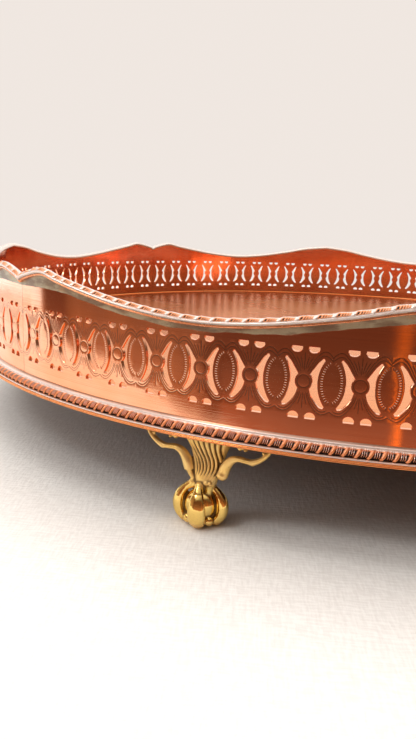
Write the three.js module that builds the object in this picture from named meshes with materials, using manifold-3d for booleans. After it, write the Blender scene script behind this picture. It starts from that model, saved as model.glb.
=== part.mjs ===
// Round copper gallery tray on four cast brass claw feet.
// Millimetres, +Z up, origin on the table under the tray's centre. A tall single peak of the rim
// faces -Y; azimuth is counted from -Y towards +X.
import * as THREE from 'three';
import { mergeVertices } from 'three/addons/utils/BufferGeometryUtils.js';
import Module from 'manifold-3d';

const wasm = await Module();
wasm.setup();

// ---- Driving dimensions ---------------------------------------------------------------------
const WALL_RADIUS = 162;        // outside of the pierced wall
const SHEET = 1.0;              // gallery and floor sheet
const GAP = 0.3;                // solder gap left between pieces
const QUARTERS = 4;             // the rim outline repeats four times
const UNITS_PER_PANEL = 21;     // pierced repeats in one quarter
const FOOT_HEIGHT = 22.0;       // table to the underside of the tray's hem
const FLOOR_TOP = 26.2;         // table to the surface things stand on
const PIERCING_HEIGHT = 38.8;   // middle of the pierced row
const SKIRT_DEPTH = 3.9;        // floor top to the underside of the hem
const HEM_THICKNESS = 0.8;      // rolled edge at the foot of the skirt
const HEM_REACH = 3.4;          // hem's edge outside the wall
const STRIP_THICKNESS = 0.8;    // rim fillet, from its back to its face
const FILLET_HEIGHT = 0.6;      // plain strip round the outside of the wall's top edge
const FOOT_AZIMUTH = -20.6;     // each foot stands under the middle of a sag in the rim
const FOOT_RADIUS = 160.6;      // tray axis to the foot's middle plane

// Height of the wall's top edge above the table, against degrees from the notch between two low
// peaks: notch, low peak, sag, and the tall single peak at the middle of the panel.
const RIM_OUTLINE = [
  [0, 53.3], [1, 54.5], [4.3, 56.3], [7, 54.9], [11, 52.9], [16, 50.7],
  [22.5, 49.2], [28.5, 50.1], [35, 52.9], [40, 55.7], [45, 57.2],
];
const RIM_SAMPLES = 90;         // points taken along that outline

const PITCH = (2 * Math.PI * WALL_RADIUS) / (QUARTERS * UNITS_PER_PANEL);
const HALF_PANEL = Math.PI / QUARTERS - GAP / 2 / WALL_RADIUS;
const SEAT_RADIUS = WALL_RADIUS - SHEET - GAP;  // the wall stands in a shallow rebate outside this
const HEM_BOTTOM = FLOOR_TOP - SKIRT_DEPTH;
const HEM_TOP = HEM_BOTTOM + HEM_THICKNESS;
const SAME_POINT = 1e-4;        // corners closer than this are one vertex

// ---- Materials ------------------------------------------------------------------------------
const metal = (color, roughness) => new THREE.MeshStandardMaterial({ color, roughness, metalness: 1 });
const copper = metal(0xc4673a, 0.22);
const satinCopper = metal(0xcb7a4c, 0.35);
const stampedCopper = metal(0xd8a080, 0.3);
const brass = metal(0xd8a443, 0.28);

// ---- Rim outline ----------------------------------------------------------------------------
const rimCurve = new THREE.SplineCurve(RIM_OUTLINE.map(([x, y]) => new THREE.Vector2(x, y)));
const rimSamples = rimCurve.getPoints(RIM_SAMPLES);

/** Height of the wall's top edge at an angle in radians from the panel's middle. */
function rimHeight(angle) {
  const fromNotch = Math.max(0, 180 / QUARTERS - THREE.MathUtils.radToDeg(Math.abs(angle)));
  const i = Math.max(1, rimSamples.findIndex((p) => p.x >= fromNotch));
  const [a, b] = [rimSamples[i - 1], rimSamples[i]];
  return THREE.MathUtils.lerp(a.y, b.y, (fromNotch - a.x) / (b.x - a.x));
}

/** Point at a radius, an azimuth in radians and a height. */
const onCircle = (radius, angle, z) => [radius * Math.sin(angle), -radius * Math.cos(angle), z];

/** Closed geometry from a flat list of triangle corners. */
function closedGeometry(corners) {
  const geometry = new THREE.BufferGeometry();
  geometry.setAttribute('position', new THREE.Float32BufferAttribute(corners.flat(), 3));
  return mergeVertices(geometry, SAME_POINT);
}

// ---- Pierced gallery panels -----------------------------------------------------------------
// One repeat is centred on an X-shaped figure. A crescent stands on either side of it, with two
// cusps towards the X, and a pair of half-moons lies above and below.
const CRESCENT = [[-4.16, 5.35], [-1.26, 1.6], [-1.26, -1.6], [-4.16, -5.55], [-3.01, 0]];
const HALF_MOON_ABOVE = [[0.65, 7.7], [1.2, 6.5], [2.5, 6.5], [3.1, 7.6]];
const HALF_MOON_BELOW = [[0.65, -8.45], [3.1, -8.35], [2.5, -7.15], [1.2, -7.15]];

const toLoop = (points, side) => {
  const loop = points.map(([x, z]) => new THREE.Vector2(side * x, z + PIERCING_HEIGHT));
  return THREE.ShapeUtils.area(loop) > 0 ? loop.reverse() : loop;
};
const unitHoles = [CRESCENT, HALF_MOON_ABOVE, HALF_MOON_BELOW]
  .flatMap((points) => [toLoop(points, 1), toLoop(points, -1)]);

/** One pierced panel, notch to notch, as a curved sheet with real holes. */
function galleryPanel() {
  const corners = [];
  const width = 2 * HALF_PANEL * WALL_RADIUS;
  const scale = width / (UNITS_PER_PANEL * PITCH);
  const outer = (p, shift) => onCircle(WALL_RADIUS, (p.x + shift) * scale / WALL_RADIUS, p.y);
  const inner = (p, shift) => onCircle(WALL_RADIUS - SHEET, (p.x + shift) * scale / WALL_RADIUS, p.y);
  const edge = (a, b, shift) => {
    corners.push(outer(a, shift), inner(a, shift), inner(b, shift));
    corners.push(outer(a, shift), inner(b, shift), outer(b, shift));
  };
  for (let unit = 0; unit < UNITS_PER_PANEL; unit += 1) {
    const shift = (unit - (UNITS_PER_PANEL - 1) / 2) * PITCH;
    const top = [PITCH / 2, 0, -PITCH / 2].map(
      (x) => new THREE.Vector2(x, rimHeight((x + shift) * scale / WALL_RADIUS)));
    const foot = [-PITCH / 2, PITCH / 2].map((x) => new THREE.Vector2(x, FLOOR_TOP));
    const outline = [...foot, ...top];
    const loops = [outline, ...unitHoles];
    const points = loops.flat();
    for (const [a, b, c] of THREE.ShapeUtils.triangulateShape(outline, unitHoles)) {
      corners.push(outer(points[a], shift), outer(points[b], shift), outer(points[c], shift));
      corners.push(inner(points[a], shift), inner(points[c], shift), inner(points[b], shift));
    }
    for (const loop of loops) {
      loop.forEach((a, i) => {
        const b = loop[(i + 1) % loop.length];
        const seam = loop === outline && Math.abs(a.x - b.x) < SAME_POINT;
        const panelEnd = (unit === 0 && a.x < 0) || (unit === UNITS_PER_PANEL - 1 && a.x > 0);
        if (!seam || panelEnd) edge(a, b, shift);
      });
    }
  }
  return closedGeometry(corners);
}

// ---- Strips that run round the wall -----------------------------------------------------------
/**
 * A bar that runs round one quarter. Its section lists [out, up] from the wall's outer face and
 * from the height given by baseHeight, anticlockwise when out is right and up is up.
 */
function quarterStrip(section, baseHeight, steps) {
  const corners = [];
  const at = (k, i) => {
    const angle = HALF_PANEL * (2 * i / steps - 1);
    const [out, up] = section[k % section.length];
    return onCircle(WALL_RADIUS + out, angle, baseHeight(angle) + up);
  };
  for (let i = 0; i < steps; i += 1) {
    for (let k = 0; k < section.length; k += 1) {
      corners.push(at(k, i), at(k, i + 1), at(k + 1, i + 1), at(k, i), at(k + 1, i + 1), at(k + 1, i));
    }
  }
  for (let k = 1; k < section.length - 1; k += 1) {
    corners.push(at(0, 0), at(k, 0), at(k + 1, 0), at(0, steps), at(k + 1, steps), at(k, steps));
  }
  return closedGeometry(corners);
}

const rimMount = () => quarterStrip(
  [[-1.1, GAP], [1.3, GAP], [1.7, 0.9], [0.7, 1.6], [-1.1, 1.3]], rimHeight, 2 * UNITS_PER_PANEL);

const rimFillet = () => {
  const face = GAP + STRIP_THICKNESS;
  const section = [[GAP, -FILLET_HEIGHT], [face, -FILLET_HEIGHT], [face, 0], [GAP, 0]];
  return quarterStrip(section, rimHeight, 2 * UNITS_PER_PANEL);
};

const gadroonMount = () => quarterStrip(
  [[GAP, 0], [2.7, 0], [3.1, 1.0], [2.3, 2.3], [1.1, 2.7], [GAP, 2.7]],
  () => HEM_TOP + GAP, UNITS_PER_PANEL);

// ---- Floor with its turned-down skirt and hem -------------------------------------------------
function trayBase() {
  const skirtInside = WALL_RADIUS - SHEET;
  const hemEdge = WALL_RADIUS + HEM_REACH;
  const profile = [
    [0, FLOOR_TOP - SHEET], [skirtInside, FLOOR_TOP - SHEET], [skirtInside, HEM_BOTTOM],
    [hemEdge, HEM_BOTTOM], [hemEdge, HEM_TOP], [WALL_RADIUS, HEM_TOP],
    [WALL_RADIUS, FLOOR_TOP - GAP], [SEAT_RADIUS, FLOOR_TOP - GAP], [SEAT_RADIUS, FLOOR_TOP], [0, FLOOR_TOP],
  ].map(([r, z]) => new THREE.Vector2(r, z));
  return new THREE.LatheGeometry(profile, QUARTERS * UNITS_PER_PANEL).rotateX(Math.PI / 2);
}

// ---- Cast claw-and-ball foot ------------------------------------------------------------------
// The foot's own frame: x along the rim, -y outward from the tray, z up from the table.
const BALL_RADIUS = 4.8;
const BALL_CENTRE = new THREE.Vector3(0, -1.0, 4.5);
const LEG_THICKNESS = 5;
const WING_THICKNESS = 2.2;
const KNEE_TOP = 24.6;          // the knee runs up inside the skirt, where it is soldered
const KNEE_WIDTH = 16;          // wider than the knee, for cutting its side outline
const TOE_BEND = [90, 55, 20, -15, -38];  // degrees above the ball's middle, ankle to claw tip
const TOE_TURNS = [10, 100, 190, 280];     // degrees round the ball, the claw a little askew
const CUTTER = 40;              // block that cuts the foot off flat at the table

/** Manifold solid from a closed three.js geometry. */
function solid(geometry) {
  geometry.deleteAttribute('normal');
  geometry.deleteAttribute('uv');
  const merged = mergeVertices(geometry.index ? geometry.toNonIndexed() : geometry, SAME_POINT);
  return new wasm.Manifold(new wasm.Mesh({
    numProp: 3,
    vertProperties: merged.attributes.position.array,
    triVerts: new Uint32Array(merged.index.array),
  }));
}

/** three.js geometry from a manifold solid. */
function fromSolid(body) {
  const mesh = body.getMesh();
  const geometry = new THREE.BufferGeometry();
  geometry.setAttribute('position', new THREE.Float32BufferAttribute(mesh.vertProperties, 3));
  geometry.setIndex([...mesh.triVerts]);
  return geometry;
}

/** Plate cut to an outline in x and z, standing across y between front and back. */
function plate(outline, front, back) {
  const shape = new THREE.Shape(outline.map(([x, z]) => new THREE.Vector2(x, z)));
  const geometry = new THREE.ExtrudeGeometry(shape, { depth: back - front, bevelEnabled: false });
  return solid(geometry.rotateX(Math.PI / 2).translate(0, back, 0));
}

const mirrored = (points) => [...points, ...points.map(([x, z]) => [-x, z]).reverse()];

/** Claw toe: a tapering bar from the ankle over the ball, turned to one side of it. */
function toe(turn) {
  const reach = BALL_RADIUS + 0.7;
  const path = new THREE.CatmullRomCurve3(TOE_BEND.map((degrees) => {
    const angle = THREE.MathUtils.degToRad(degrees);
    return new THREE.Vector3(0, -reach * Math.cos(angle), reach * Math.sin(angle));
  }));
  const section = new THREE.Shape(new THREE.EllipseCurve(0, 0, 1.0, 1.2).getPoints(5).slice(0, 5));
  const bar = new THREE.ExtrudeGeometry(section, { steps: 4, extrudePath: path, bevelEnabled: false });
  return solid(bar.rotateZ(turn).translate(...BALL_CENTRE));
}

/** Knee: its front outline, widening upwards, cut by its S-shaped side outline. */
function knee() {
  const front = plate(
    mirrored([[2.4, 8.5], [2.5, 10.5], [3.4, 13], [4.4, 16], [6.0, 19.5], [6.2, KNEE_TOP]]),
    -LEG_THICKNESS / 2, LEG_THICKNESS / 2);
  const sideOutline = new THREE.Shape([
    [-2.9, 8.5], [-2.9, 10.5], [-1.4, 15], [-1.3, FOOT_HEIGHT], [0.1, FOOT_HEIGHT],
    [0.1, KNEE_TOP], [3, KNEE_TOP], [3, 16], [1.4, 11], [1.6, 8.5],
  ].map(([y, z]) => new THREE.Vector2(y, z)));
  const side = new THREE.ExtrudeGeometry(sideOutline, { depth: KNEE_WIDTH, bevelEnabled: false })
    .translate(0, 0, -KNEE_WIDTH / 2).rotateX(Math.PI / 2).rotateZ(Math.PI / 2);
  return front.intersect(solid(side));
}

/** Scroll wing to one side of the knee, with its tip touching under the hem. */
const scrollWing = (hand) => plate(
  [
    [2.2, 12.3], [3.2, 12.6], [4.6, 12.2], [5.6, 13.6], [5.7, 15.4], [6.6, 17.2], [8.2, 17.8], [10.4, 17.4],
    [11.8, 17.1], [13.2, 18.4], [15, 20], [16.2, 21], [16.2, FOOT_HEIGHT], [14.8, FOOT_HEIGHT],
    [13.2, 20.4], [11.6, 19.2], [8, 19.4], [5, 18.6], [2.2, 17],
  ].map(([x, z]) => [hand * x, z]),
  -WING_THICKNESS / 2, WING_THICKNESS / 2);

function foot() {
  const ball = solid(
    new THREE.SphereGeometry(BALL_RADIUS, 10, 7).rotateX(Math.PI / 2).translate(...BALL_CENTRE));
  const belowTable = solid(new THREE.BoxGeometry(CUTTER, CUTTER, CUTTER).translate(0, 0, -CUTTER / 2));
  const toes = TOE_TURNS.map((degrees) => toe(THREE.MathUtils.degToRad(degrees)));
  const pieces = [knee(), scrollWing(1), scrollWing(-1), ball, ...toes];
  return fromSolid(pieces.reduce((whole, piece) => whole.add(piece)).subtract(belowTable));
}

// ---- Assembly ---------------------------------------------------------------------------------
const tray = new THREE.Group();

function place(name, geometry, material, parent = tray) {
  const mesh = new THREE.Mesh(geometry, material);
  mesh.name = name;
  parent.add(mesh);
  return mesh;
}

place('tray_base', trayBase(), satinCopper);

for (let k = 0; k < QUARTERS; k += 1) {
  const quarter = new THREE.Group();
  quarter.rotation.z = (k * 2 * Math.PI) / QUARTERS;
  tray.add(quarter);
  place(`gallery_panel_${k + 1}`, galleryPanel(), copper, quarter);
  place(`gadroon_mount_${k + 1}`, gadroonMount(), stampedCopper, quarter);
  place(`rim_fillet_${k + 1}`, rimFillet(), copper, quarter);
  place(`rim_mount_${k + 1}`, rimMount(), stampedCopper, quarter);

  const footTurn = new THREE.Group();
  footTurn.rotation.z = THREE.MathUtils.degToRad(FOOT_AZIMUTH);
  quarter.add(footTurn);
  place(`claw_foot_${k + 1}`, foot(), brass, footTurn).position.set(0, -FOOT_RADIUS, 0);
}

export default tray;
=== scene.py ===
"""Round copper gallery tray on cast brass claw-and-ball feet.

Geometry is worked out in millimetres in the row's own frame (+Z up, azimuth counted from -Y
towards +X) and turned into metres when a mesh is made. Every piece stands where its CAD node does.
"""
import math

import bpy
import numpy as np
from mathutils import Matrix, Vector
from mathutils.geometry import delaunay_2d_cdt


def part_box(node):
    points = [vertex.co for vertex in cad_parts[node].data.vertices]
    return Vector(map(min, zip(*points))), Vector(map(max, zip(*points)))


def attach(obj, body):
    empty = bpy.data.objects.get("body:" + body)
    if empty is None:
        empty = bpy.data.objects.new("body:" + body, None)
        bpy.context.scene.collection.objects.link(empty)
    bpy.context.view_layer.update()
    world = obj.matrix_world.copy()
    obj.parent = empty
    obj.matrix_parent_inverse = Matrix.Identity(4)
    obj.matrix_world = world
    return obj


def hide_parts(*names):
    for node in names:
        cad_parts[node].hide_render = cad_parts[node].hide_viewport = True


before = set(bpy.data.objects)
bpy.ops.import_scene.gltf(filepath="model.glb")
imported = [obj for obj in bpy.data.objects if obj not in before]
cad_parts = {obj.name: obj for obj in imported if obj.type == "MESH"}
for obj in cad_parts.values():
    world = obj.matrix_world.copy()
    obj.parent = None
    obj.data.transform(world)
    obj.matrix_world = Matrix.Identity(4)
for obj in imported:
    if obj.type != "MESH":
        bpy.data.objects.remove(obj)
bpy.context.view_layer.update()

MM = 0.001
QUARTERS = 4

# ---- Sizes read from the frame, in millimetres
panel_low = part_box("gallery_panel_1")[0] / MM
base_low, base_high = (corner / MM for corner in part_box("tray_base"))

WALL_RADIUS = -panel_low.y  # outside of the pierced wall
HEM_RADIUS = base_high.x  # outside of the hem under the lower border
HEM_BOTTOM = base_low.z
FLOOR_TOP = base_high.z
SHEET = 1.0  # gallery and floor sheet

# ---- Rim outline
# Height of the wall's top edge above the table against degrees from the notch between two low
# peaks: notch, low peak, sag, and the tall single peak in the middle of a panel.
RIM_OUTLINE = [
    (0, 53.3), (1, 54.5), (4.3, 56.3), (7, 54.9), (11, 52.9), (16, 50.7),
    (22.5, 49.2), (28.5, 50.1), (35, 52.9), (40, 55.7), (45, 57.2),
]

# ---- Pierced pattern
UNITS_PER_PANEL = 21
PITCH = 2 * math.pi * WALL_RADIUS / (QUARTERS * UNITS_PER_PANEL)
HALF_UNIT = PITCH / 2  # X figure's middle to the oval's middle
ROW_HEIGHT = 38.8  # middle of the pierced row above the table
BAND_TOP = 9.0  # the repeating sheet ends here, above the row's middle
WELD_STEP = 1 / 2000  # points this near each other are one
TIDE_DROP = 2.3  # the solder tide's edge below the rim's general line
SEAM = 0.12  # gap between two panels' ends
EDGE_ROUND = 0.09  # sawn edges are broken by this much
BEAD_RADIUS, BEAD_HEIGHT = 1.22, 0.03  # low dome at the middle of each X figure
OVAL_HALF_WIDTH, OVAL_HALF_HEIGHT = 2.15, 4.45
GROOVE_DEPTH = 0.02
GROOVE_HALF_WIDTH = 0.12
STROKE_DEPTH = 0.035  # short cuts round the oval
STROKE_HALF_WIDTH = 0.10


# ---- Small geometry helpers
def arc(centre, radius, start, end, count):
    """Points on a circle between two angles in degrees."""
    a = np.radians(np.linspace(start, end, count))
    return np.column_stack([centre[0] + radius * np.cos(a), centre[1] + radius * np.sin(a)])


def smooth_through(points, per_span=6):
    """Catmull-Rom curve through the points, its two ends kept."""
    p = np.asarray(points, float)
    p = np.vstack([2 * p[0] - p[1], p, 2 * p[-1] - p[-2]])
    t = np.linspace(0, 1, per_span, endpoint=False)[:, None]
    spans = []
    for a, b, c, d in zip(p[:-3], p[1:-2], p[2:-1], p[3:]):
        spans.append(0.5 * (2 * b + (c - a) * t + (2 * a - 5 * b + 4 * c - d) * t**2
                            + (3 * b - a - 3 * c + d) * t**3))
    return np.vstack([*spans, p[-2:-1]])


def unit(vectors):
    return vectors / np.linalg.norm(vectors, axis=-1, keepdims=True)


def outward_of(loop):
    """Outward direction at each point of an anticlockwise loop."""
    along = unit(np.roll(loop, -1, 0) - np.roll(loop, 1, 0))
    return np.column_stack([along[:, 1], -along[:, 0]])


def full_turn(count):
    return np.linspace(0, 2 * math.pi, count, endpoint=False)[:, None]


def grid_quads(columns, rows, closed_columns=False, closed_rows=False):
    """Quads between the points of a grid that is listed column by column."""
    i, k = np.meshgrid(np.arange(columns if closed_columns else columns - 1),
                       np.arange(rows if closed_rows else rows - 1), indexing="ij")
    here, there, above = i * rows, (i + 1) % columns * rows, (k + 1) % rows
    return np.stack([here + k, here + above, there + above, there + k], -1).reshape(-1, 4)


def smoothstep(low, high, x):
    t = np.clip((x - low) / (high - low), 0, 1)
    return t * t * (3 - 2 * t)


rim_curve = smooth_through(RIM_OUTLINE, 24)


def rim_height(angle):
    """Height of the wall's top edge at an angle in radians from the panel's middle."""
    from_notch = np.maximum(0, 45 - np.abs(np.degrees(angle)))
    return np.interp(from_notch, rim_curve[:, 0], rim_curve[:, 1])


def on_circle(radius, angle, height):
    """Points at a radius, an azimuth in radians and a height."""
    radius, angle, height = np.broadcast_arrays(radius, angle, height)
    return np.stack([radius * np.sin(angle), -radius * np.cos(angle), height], -1)


def turned(points, angle):
    c, s = math.cos(angle), math.sin(angle)
    x, y, z = points.T
    return np.column_stack([c * x - s * y, s * x + c * y, z])


def mesh_object(name, points, faces, material):
    mesh = bpy.data.meshes.new(name)
    mesh.from_pydata(points, [], faces)
    mesh.materials.append(material)
    item = bpy.data.objects.new(name, mesh)
    bpy.context.scene.collection.objects.link(item)
    return item


def make_piece(name, node, points, faces, material, attributes, crease=30):
    """Object from millimetre points: rides on the row's body, and its CAD node is hidden."""
    piece = mesh_object(name, (points * MM).tolist(), faces, material)
    piece.data.shade_smooth()
    piece.data.set_sharp_from_angle(angle=math.radians(crease))
    for key, values in attributes.items():
        layer = piece.data.attributes.new(key, "FLOAT", "POINT")
        layer.data.foreach_set("value", np.asarray(values, np.float32))
    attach(piece, "root")
    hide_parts(node)


# ---- Node material helpers
class Nodes:
    """A node tree, built with a few short calls."""

    def __init__(self, owner):
        owner.use_nodes = True
        self.owner = owner
        self.tree = owner.node_tree

    def add(self, kind, inputs=None, **settings):
        """A node with its settings, and its inputs given as values or as sockets."""
        node = self.tree.nodes.new(kind)
        for key, value in settings.items():
            setattr(node, key, value)
        for key, value in (inputs or {}).items():
            self.put(value, node.inputs[key])
        return node

    def link(self, source, target):
        self.tree.links.new(source, target)

    def put(self, value, target):
        if isinstance(value, bpy.types.NodeSocket):
            self.link(value, target)
        else:
            target.default_value = value

    def attribute(self, name):
        return self.add("ShaderNodeAttribute", attribute_name=name).outputs["Fac"]

    def object_place(self):
        return self.add("ShaderNodeTexCoord").outputs["Object"]

    def noise(self, place, scale, detail=2.0, roughness=0.5, distortion=0.0):
        """Noise of one scale, or of one scale each way where a pair is given."""
        if isinstance(scale, tuple):
            place = self.add("ShaderNodeMapping", {"Vector": place, "Scale": (*scale, 1)}).outputs[0]
            scale = 1.0
        inputs = {"Vector": place, "Scale": scale, "Detail": detail, "Roughness": roughness,
                  "Distortion": distortion}
        return self.add("ShaderNodeTexNoise", inputs).outputs["Fac"]

    def math(self, operation, a, b=0.0):
        return self.add("ShaderNodeMath", {0: a, 1: b}, operation=operation).outputs[0]

    def times(self, a, b):
        return self.math("MULTIPLY", a, b)

    def between(self, value, low, high, out_low=0.0, out_high=1.0):
        """Smooth step of a value from one range to another."""
        inputs = {"Value": value, "From Min": low, "From Max": high, "To Min": out_low, "To Max": out_high}
        return self.add("ShaderNodeMapRange", inputs, interpolation_type="SMOOTHSTEP").outputs[0]

    def mix(self, amount, a, b):
        a, b = ((*value, 1.0) if isinstance(value, tuple) else value for value in (a, b))
        return self.add("ShaderNodeMix", {0: amount, 6: a, 7: b}, data_type="RGBA").outputs[2]

    def bump(self, height, distance, strength=1.0, under=None):
        inputs = {"Height": height, "Distance": distance, "Strength": strength}
        if under is not None:
            inputs["Normal"] = under
        return self.add("ShaderNodeBump", inputs).outputs[0]

    def finish(self, color, roughness, normal=None, metallic=1.0):
        self.put(color, self.shader.inputs["Base Color"])
        self.put(roughness, self.shader.inputs["Roughness"])
        self.put(metallic, self.shader.inputs["Metallic"])
        if normal is not None:
            self.link(normal, self.shader.inputs["Normal"])
        return self.owner


def surface(name):
    """Nodes of a new material that has one Principled shader."""
    n = Nodes(bpy.data.materials.new(name))
    n.tree.nodes.clear()
    n.shader = n.add("ShaderNodeBsdfPrincipled")
    n.add("ShaderNodeOutputMaterial", {0: n.shader.outputs[0]})
    return n


# ---- Materials
COPPER = (0.92, 0.40, 0.215)
WORN_COPPER = (0.95, 0.50, 0.32)
DEEP_COPPER = (0.62, 0.17, 0.05)
SOLDER = (0.40, 0.38, 0.25)
SOLDER_DARK = (0.15, 0.13, 0.085)
VERDIGRIS = (0.05, 0.30, 0.26)
STAMPED_COPPER = (0.90, 0.33, 0.13)
TARNISH = (0.035, 0.022, 0.018)
PALE_STRIP = (0.91, 0.80, 0.74)
BRASS = (0.90, 0.58, 0.17)
POLISHED_BRASS = (0.95, 0.66, 0.20)
BRASS_SHADE = (0.16, 0.09, 0.035)
PALE_BRASS = (0.93, 0.64, 0.24)
FILLET_COPPER = (0.93, 0.40, 0.20)
FLOOR_COPPER = (0.90, 0.33, 0.11)
FLOOR_WORN = (0.92, 0.40, 0.16)
FLOOR_EDGE_TINT = (1.0, 0.90, 0.82, 1)  # warmer where the floor is seen at a low angle
UNPOLISHED = (0.17, 0.075, 0.045)
RUST = (0.46, 0.24, 0.09)
SOLDER_SMEAR = (0.30, 0.25, 0.20)


def gallery_copper():
    """Polished sheet: fine brush lines, darkened chasing, a tide of old solder under the fillet."""
    n = surface("gallery_copper")
    # textures lie on the sheet: distance round the wall and height, in millimetres
    place = n.add("ShaderNodeCombineXYZ", {0: n.attribute("around"), 1: n.attribute("height")}).outputs[0]
    lines = n.noise(place, (0.012, 4.5), detail=3.0, roughness=0.65)
    scratches = n.noise(place, (0.05, 14.0), detail=2.0)
    cloud = n.noise(place, (0.035, 0.09), detail=3.0)
    speck = n.noise(place, 2.2, detail=4.0, roughness=0.7)
    color = n.mix(n.between(cloud, 0.35, 0.7), COPPER, WORN_COPPER)
    color = n.mix(n.between(lines, 0.50, 0.72, 0, 0.42), color, DEEP_COPPER)
    # lines cut into the sheet hold tarnish; the short strokes round the oval are painted pale, a painted
    # glint on their cut faces
    groove = n.attribute("groove")
    color = n.mix(n.between(groove, 0.05, 0.7, 0, 0.8), color, TARNISH)
    color = n.mix(n.between(n.attribute("stroke"), 0.3, 0.9, 0, 0.55), color, PALE_STRIP)
    # solder tide: its lower edge wanders, and is measured down from the rim's general line
    wander = n.times(n.math("SUBTRACT", n.noise(place, (0.12, 0.3)), 0.5), 1.3)
    depth = n.math("ADD", n.attribute("below_tide"), wander)
    tide = n.times(n.between(depth, 0.18, -0.10), n.attribute("outside"))
    patches = n.noise(place, (0.11, 0.32), detail=5.0, roughness=0.65)
    rust = n.noise(place, (0.16, 0.45), detail=4.0, distortion=0.6)
    stain = n.mix(n.between(patches, 0.40, 0.60), SOLDER_DARK, SOLDER)
    stain = n.mix(n.between(rust, 0.60, 0.72, 0, 0.6), stain, RUST)
    stain = n.mix(n.between(speck, 0.55, 0.75, 0, 0.35), stain, SOLDER_DARK)
    color = n.mix(n.times(tide, 0.86), color, stain)
    # a few spots of green, mostly along the tide's edge
    near_edge = n.times(n.between(n.math("ABSOLUTE", depth), 1.0, 0.1), n.attribute("outside"))
    green = n.times(near_edge, n.between(n.noise(place, 0.55, detail=3.0), 0.66, 0.72))
    color = n.mix(green, color, VERDIGRIS)
    roughness = n.between(lines, 0.3, 0.8, 0.07, 0.15)
    roughness = n.math("MAXIMUM", roughness, n.times(tide, n.between(speck, 0.3, 0.7, 0.26, 0.42)))
    roughness = n.math("MAXIMUM", roughness, n.times(groove, 0.4))
    dents = n.bump(n.noise(place, (0.06, 0.02), detail=1.0), 0.0011, 0.5)
    brushed = n.bump(n.math("ADD", n.times(lines, 0.6), n.times(scratches, 0.4)),
                     0.00002, 0.45, dents)
    return n.finish(color, roughness, brushed, n.math("SUBTRACT", 1.0, n.times(tide, 0.6)))


def floor_copper():
    """Satin floor: straight wiping scratches both ways over a soft cloudy patina."""
    n = surface("floor_copper")
    place = n.object_place()
    cloud = n.noise(place, 14.0, detail=4.0)
    wipes = n.noise(place, (30, 2200), detail=3.0)
    cross = n.noise(place, (2400, 45), detail=2.0)
    color = n.mix(n.between(cloud, 0.3, 0.7), FLOOR_COPPER, FLOOR_WORN)
    color = n.mix(n.between(wipes, 0.50, 0.75, 0, 0.40), color, DEEP_COPPER)
    roughness = n.between(cloud, 0.3, 0.75, 0.22, 0.32)
    # the underside and the skirt's inside were never polished
    under = n.attribute("under")
    color = n.mix(under, color, UNPOLISHED)
    roughness = n.math("MAXIMUM", roughness, n.times(under, 0.5))
    n.shader.inputs["Specular Tint"].default_value = FLOOR_EDGE_TINT
    scratches = n.math("ADD", n.times(wipes, 0.7), n.times(cross, 0.3))
    return n.finish(color, roughness, n.bump(scratches, 0.00004, 0.6))


def stamped_copper():
    """Die-stamped strip: pale metal on its plain parts and most ridges, painted highlights on the gadroon's
    leaves and upper face, hollows full of old polish and tarnish.
    """
    n = surface("stamped_copper")
    place = n.object_place()
    relief = n.attribute("relief")
    grain = n.noise(place, 900.0, detail=3.0)
    patch = n.noise(place, 60.0, detail=2.0)
    color = n.mix(n.between(relief, 0.20, 0.50), TARNISH, STAMPED_COPPER)
    # high tone: the strip's pale metal, and on the gadroon also a painted highlight
    color = n.mix(n.between(relief, 0.60, 0.85), color, PALE_STRIP)
    color = n.mix(n.between(grain, 0.56, 0.75, 0, 0.35), color, DEEP_COPPER)
    color = n.mix(n.times(n.attribute("solder"), n.between(patch, 0.35, 0.65, 0.55, 0.95)),
                  color, SOLDER_SMEAR)
    roughness = n.between(relief, 0.3, 0.9, 0.48, 0.20)
    return n.finish(color, roughness, n.bump(grain, 0.00003, 0.6), 0.55)


def plain_strip():
    """Rim fillet: bright bare copper with a fine darker grain."""
    n = surface("fillet_copper")
    place = n.object_place()
    grain = n.noise(place, 420.0, detail=3.0)
    color = n.mix(n.between(grain, 0.4, 0.7, 0, 0.5), FILLET_COPPER, DEEP_COPPER)
    return n.finish(color, n.between(grain, 0.3, 0.7, 0.18, 0.32), n.bump(grain, 0.00003, 0.5))


def cast_brass():
    """Cast brass: buffed on the ball and toes, satin above, and dark in every hollow."""
    n = surface("cast_brass")
    place = n.object_place()
    hollow = n.attribute("hollow")
    buffed = n.attribute("buffed")
    grain = n.noise(place, 1500.0, detail=3.0)
    patch = n.noise(place, 160.0, detail=3.0)
    color = n.mix(n.between(patch, 0.35, 0.7), BRASS, PALE_BRASS)
    color = n.mix(buffed, color, POLISHED_BRASS)
    color = n.mix(n.between(hollow, 0.40, 0.80, 0, 0.95), color, BRASS_SHADE)
    color = n.mix(n.between(grain, 0.6, 0.8, 0, 0.3), color, BRASS_SHADE)
    roughness = n.mix(buffed, (0.36,) * 3, (0.10,) * 3)
    roughness = n.math("ADD", roughness, n.between(hollow, 0.3, 0.9, 0, 0.25))
    casting = n.bump(n.noise(place, 700.0, detail=4.0), 0.00005, 0.5)
    return n.finish(color, roughness, casting, n.between(buffed, 0.0, 1.0, 0.75, 1.0))


# ---- Pierced pattern, half a unit from the X figure's middle (0) to the oval's middle
def crescent():
    """Crescent beside the X figure: two cusps towards the X, two round tips."""
    return np.vstack([
        arc((12.41, 0), 9.4, 215.2, 149.0, 24),
        arc((4.05, 4.93), 0.33, 0, 150, 7),
        smooth_through([(3.74, 5.04), (2.97, 4.22), (2.20, 3.0), (1.26, 1.55)], 4)[1:-1],
        arc((-0.35, -0.08), 2.29, 45, -45, 9),
        smooth_through([(1.28, -1.72), (1.69, -3.12), (2.43, -4.32), (3.39, -5.38), (4.02, -5.78)], 4)[1:],
        arc((4.38, -5.45), 0.36, 245, 335, 5),
    ])


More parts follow.
